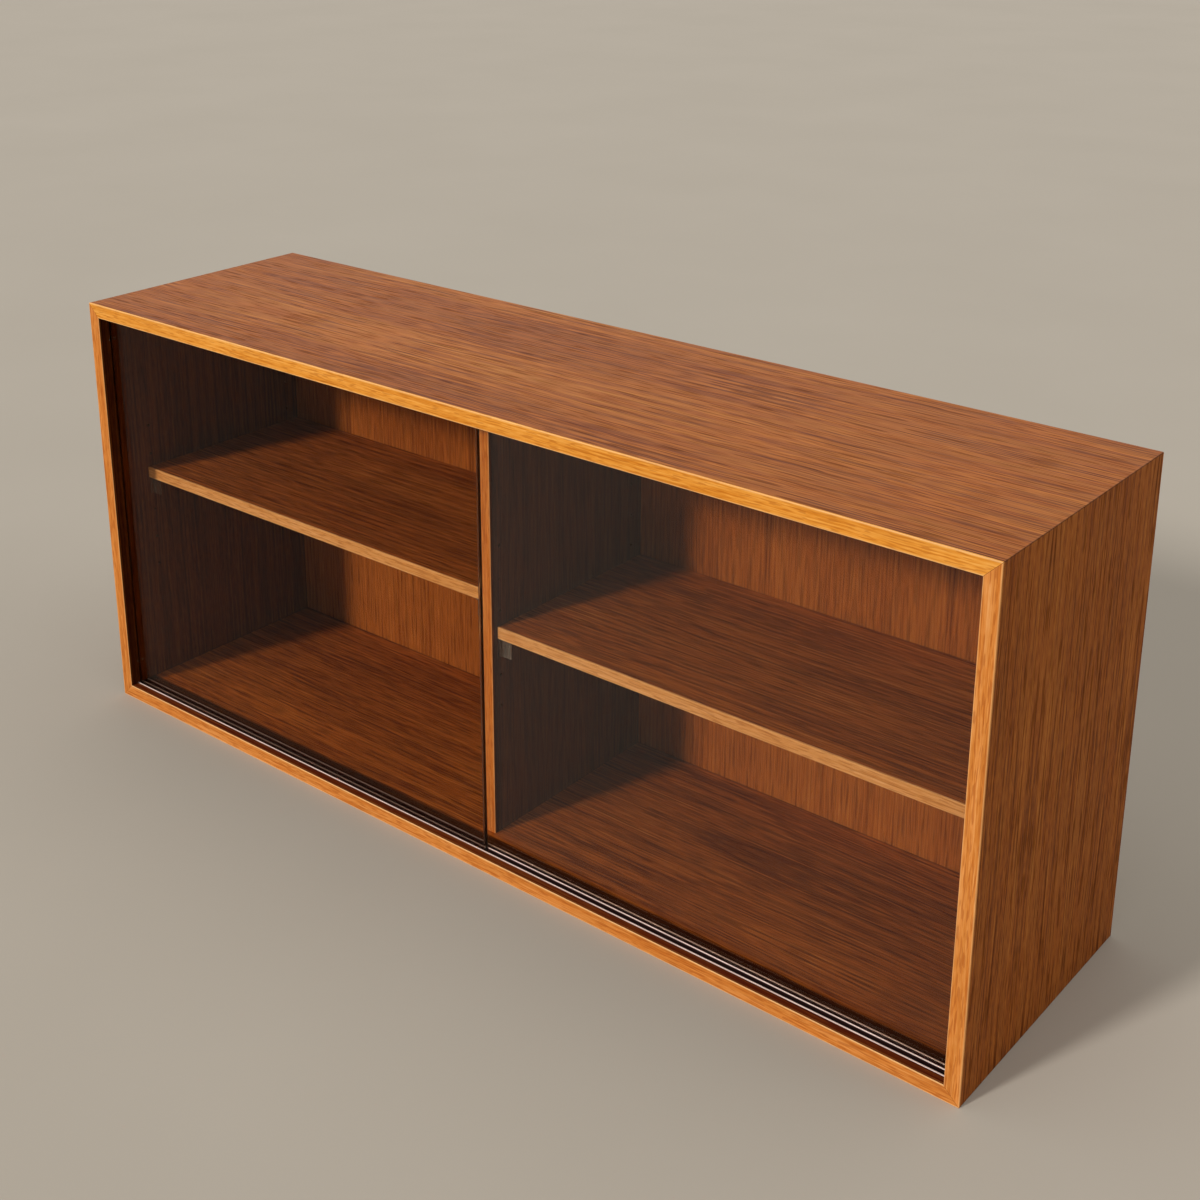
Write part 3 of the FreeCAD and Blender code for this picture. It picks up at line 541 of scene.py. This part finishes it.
def trackMaterial(name, look, way):
    # way is 1 where the crowns are the track's highest points and -1 where they are its lowest;
    # the painted highlight's share is closeness to the crown, times the rubbing, times one minus the
    # painted shade
    material, tree, place = newMaterial(name + "Plastic")
    parts = addNode(tree, "SeparateXYZ", {0: place}).outputs
    low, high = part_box(name)
    crownHeight = high[2] if way > 0 else low[2]
    crownHighlight = closeTo(tree, parts[2], crownHeight, look["crownBand"] * mm)
    scale = (look["scuffsAlong"], look["scuffsAcross"], look["scuffsAcross"])
    streaks = addNode(tree, "Mapping", {"Vector": place, "Scale": scale})
    scuffs = addNode(tree, "TexNoise", {"Vector": streaks, "Scale": 1.0, "Detail": 3.0})
    rubbed = addNode(tree, "MapRange", {
        "Value": scuffs, "From Min": look["rubbedFrom"], "From Max": look["rubbedTo"],
        "To Min": look["rubbedLeast"],
    })
    wornHighlight = addNode(tree, "Math", {0: crownHighlight, 1: rubbed}, operation="MULTIPLY")

    # painted shade: left of the left pane's end every wall behind it, and the rear wall all along
    pane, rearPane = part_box("left_glass_door"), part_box("right_glass_door")
    behind = addNode(tree, "Math", {0: parts[1], 1: pane[0][1]}, operation="GREATER_THAN")
    leftOf = addNode(tree, "Math", {0: parts[0], 1: pane[1][0]}, operation="LESS_THAN")
    paneShade = addNode(tree, "Math", {0: behind, 1: leftOf}, operation="MULTIPLY")
    paneShade = addNode(tree, "Math", {0: paneShade, 1: look["paneShadeLeft"]}, operation="MULTIPLY")
    rear = addNode(tree, "Math", {0: parts[1], 1: rearPane[0][1]}, operation="GREATER_THAN")
    rear = addNode(tree, "Math", {0: rear, 1: look["paneShadeRear"]}, operation="MULTIPLY")
    paneShade = addNode(tree, "Math", {0: paneShade, 1: rear}, operation="MAXIMUM")
    kept = addNode(tree, "Math", {0: 1.0, 1: paneShade}, operation="SUBTRACT")
    wornHighlight = addNode(tree, "Math", {0: wornHighlight, 1: kept}, operation="MULTIPLY")
    colour = addNode(tree, "Mix", {
        0: wornHighlight, 6: linear(look["body"]), 7: linear(look["crownHighlight"]),
    }, data_type="RGBA")
    rough = addNode(tree, "Math", {
        0: scuffs, 1: look["scuffRoughness"], 2: look["roughness"],
    }, operation="MULTIPLY_ADD")
    shader = addNode(tree, "BsdfPrincipled", {
        "Base Color": colour, "Roughness": rough, "IOR": look["ior"],
    })
    addNode(tree, "OutputMaterial", {"Surface": shader})
    return material


dress("bottom_track", trackMaterial("bottom_track", trackPlastic, 1))
dress("top_track", trackMaterial("top_track", trackPlastic, -1))
print("tracks done")


# Moulded clear polystyrene, slightly milky with age, with faint flow marks. flowSize is in mm.
clearPlastic = {
    "clear": "#DAD3CA", "milky": "#F7F6F3", "haze": 0.24, "flowSize": 4.0, "through": 0.95, "ior": 1.59,
}
# Soft clear polyurethane domes, tacky and a little dull
domePlastic = dict(clearPlastic, clear="#F0EEE6", haze=0.15, flowSize=1.0, ior=1.49)


def clearMaterial(name, look):
    # flow marks go from clear and smooth to milky and as rough as haze
    material, tree, place = newMaterial(name)
    scale = 1 / (look["flowSize"] * mm)
    flow = addNode(tree, "TexNoise", {"Vector": place, "Scale": scale, "Detail": 2.0})
    colour = addNode(tree, "Mix", {
        0: flow, 6: linear(look["clear"]), 7: linear(look["milky"]),
    }, data_type="RGBA")
    rough = addNode(tree, "Math", {0: flow, 1: look["haze"]}, operation="MULTIPLY")
    body = addNode(tree, "BsdfPrincipled", {
        "Base Color": colour, "Transmission Weight": look["through"],
        "IOR": look["ior"], "Roughness": rough,
    })
    thinGlass(tree, body, look["clear"])
    return material


clear = clearMaterial("mouldedClearPolystyrene", clearPlastic)
for bay in ("left", "right"):
    for row in ("front", "rear"):
        for end in ("left", "right"):
            dress(f"{bay}_shelf_{row}_{end}_support", clear)
dome = clearMaterial("softPolyurethane", domePlastic)
for side in ("left", "right"):
    dress(side + "_door_pads", dome)

# Zinc-plated steel: bright grey metal with a dull crystalline bloom, whose patches are bloomSize mm
screwSteel = {
    "bright": "#A8A49B", "paneShade": "#6F6A62", "bloomSize": 1.1, "roughness": 0.22, "bloomRoughness": 0.3,
}


def steelMaterial(name, look):
    # the bloom goes from bright and smooth to dull and rough
    material, tree, place = newMaterial(name)
    scale = 1 / (look["bloomSize"] * mm)
    bloom = addNode(tree, "TexNoise", {"Vector": place, "Scale": scale, "Detail": 4.0})
    colour = addNode(tree, "Mix", {
        0: bloom, 6: linear(look["bright"]), 7: linear(look["paneShade"]),
    }, data_type="RGBA")
    rough = addNode(tree, "Math", {
        0: bloom, 1: look["bloomRoughness"], 2: look["roughness"],
    }, operation="MULTIPLY_ADD")
    shader = addNode(tree, "BsdfPrincipled", {"Base Color": colour, "Metallic": 1.0, "Roughness": rough})
    addNode(tree, "OutputMaterial", {"Surface": shader})
    return material


steel = steelMaterial("zincPlatedSteel", screwSteel)
for name in ("back_panel_screws", "bottom_track_screws", "top_track_screws"):
    dress(name, steel)

# Planed beech, pale and even, in the glued joints
beech = dict(
    teakEdging,
    darkest="#A97C4C", dark="#B98C5B", middle="#C89C6B", light="#D3AA7A", lightest="#DDB98C",
    pore="#8F6236", olive="#BC9568", roughness=0.5,
)


def beechMaterial(name, grain, shift):
    # grain is the axis along the splines or the dowels
    material, tree, place = newMaterial(name + "Beech")
    colour, pores, _ = woodGrain(tree, place, beech, grain, grain, shift)
    woodShader(tree, beech, colour, pores)
    return material


dress("mitre_splines", beechMaterial("mitre_splines", 1, (1.2, 3.4, 5.6)))
dress("divider_dowels", beechMaterial("divider_dowels", 2, (6.5, 4.3, 2.1)))
print("small parts done")


# The floor's half width and its patches are in metres, and the lamps' directions in degrees;
# worldLight lights the object, and worldSeen is what the camera, glossy and glass rays see
studio = {
    "floorHalf": 30.0, "floorLines": 5, "floorPatch": 0.7,
    "floorPale": "#B5AB9C", "floorDark": "#AEA495", "floorRoughness": 0.9, "floorIor": 1.45,
    "worldLight": 0.20, "worldSeen": 0.78, "lampDistance": 3.0,
    "keyAzimuth": 17.0, "keyHeight": 27.0, "keyAngle": 7.0, "keyStrength": 2.35,
    "topAzimuth": 0.0, "topHeight": 89.0, "topAngle": 80.0, "topStrength": 1.18,
    "sideAzimuth": -105.0, "sideHeight": 25.0, "sideAngle": 40.0, "sideStrength": 0.31,
}


def floorSurface(half, count):
    # a level square grid: x and y run from -half to half in count lines and z is zero everywhere
    steps = np.linspace(-half, half, count)
    x, y = np.meshgrid(steps, steps, indexing="ij")
    points = np.stack([x, y, np.zeros_like(x)], axis=-1).reshape(-1, 3)
    index = np.arange(count * count).reshape(count, count)
    corners = [index[:-1, :-1], index[1:, :-1], index[1:, 1:], index[:-1, 1:]]
    faces = np.stack(corners, axis=-1).reshape(-1, 4)
    mesh = bpy.data.meshes.new("studioFloor")
    mesh.from_pydata(points.tolist(), [], faces.tolist())
    piece = bpy.data.objects.new("studioFloor", mesh)
    bpy.context.scene.collection.objects.link(piece)
    return piece


def floorMaterial(name, look):
    # painted floor: pale and matt, with very soft clouds
    material, tree, place = newMaterial(name)
    clouds = addNode(tree, "TexNoise", {"Vector": place, "Scale": 1 / look["floorPatch"], "Detail": 4.0})
    colour = addNode(tree, "Mix", {
        0: clouds, 6: linear(look["floorDark"]), 7: linear(look["floorPale"]),
    }, data_type="RGBA")
    shader = addNode(tree, "BsdfPrincipled", {
        "Base Color": colour, "Roughness": look["floorRoughness"], "IOR": look["floorIor"],
    })
    addNode(tree, "OutputMaterial", {"Surface": shader})
    return material


def farLamp(kind):
    # a far soft lamp: azimuth degrees to the left of the front, height degrees above the floor, so
    # that its light runs along sin a cos h, cos a cos h, minus sin h
    a, h = math.radians(studio[kind + "Azimuth"]), math.radians(studio[kind + "Height"])
    towards = Vector((math.sin(a) * math.cos(h), math.cos(a) * math.cos(h), -math.sin(h)))
    lamp = bpy.data.lights.new(kind + "Lamp", "SUN")
    lamp.angle = math.radians(studio[kind + "Angle"])
    lamp.energy = studio[kind + "Strength"]
    holder = bpy.data.objects.new(kind + "Lamp", lamp)
    holder.location = -studio["lampDistance"] * towards
    holder.rotation_euler = towards.to_track_quat("-Z", "Y").to_euler()
    bpy.context.scene.collection.objects.link(holder)


floor = floorSurface(studio["floorHalf"], studio["floorLines"])
floor.data.materials.append(floorMaterial("palePaintedFloor", studio))

world = bpy.data.worlds.new("studioWorld")
world.use_nodes = True
bpy.context.scene.world = world
sky = world.node_tree
sky.nodes.clear()
rays = addNode(sky, "LightPath").outputs
seen = addNode(sky, "Math", {0: rays["Is Camera Ray"], 1: rays["Is Glossy Ray"]}, operation="MAXIMUM")
seen = addNode(sky, "Math", {0: seen, 1: rays["Is Transmission Ray"]}, operation="MAXIMUM")
light = addNode(sky, "Background", {"Color": (1, 1, 1, 1), "Strength": studio["worldLight"]})
shown = addNode(sky, "Background", {"Color": (1, 1, 1, 1), "Strength": studio["worldSeen"]})
addNode(sky, "OutputWorld", {"Surface": addNode(sky, "MixShader", {0: seen, 1: light, 2: shown})})

for kind in ("key", "top", "side"):
    farLamp(kind)

# metres for the places, mm for the lens, parts of the frame for the shift
view = {
    "place": (1.5307, -1.7944, 1.4525), "aim": (-0.0381, 0.1127, 0.6388),
    "lens": 52.39, "shiftX": 0.012, "shiftY": -0.18,
}
camera = bpy.data.cameras.new("camera")
camera.lens = view["lens"]
camera.shift_x = view["shiftX"]
camera.shift_y = view["shiftY"]
holder = bpy.data.objects.new("camera", camera)
holder.location = view["place"]
holder.rotation_euler = (Vector(view["aim"]) - Vector(view["place"])).to_track_quat("-Z", "Y").to_euler()
bpy.context.scene.collection.objects.link(holder)
bpy.context.scene.camera = holder

bpy.context.scene.view_settings.view_transform = "Standard"
print("studio done")
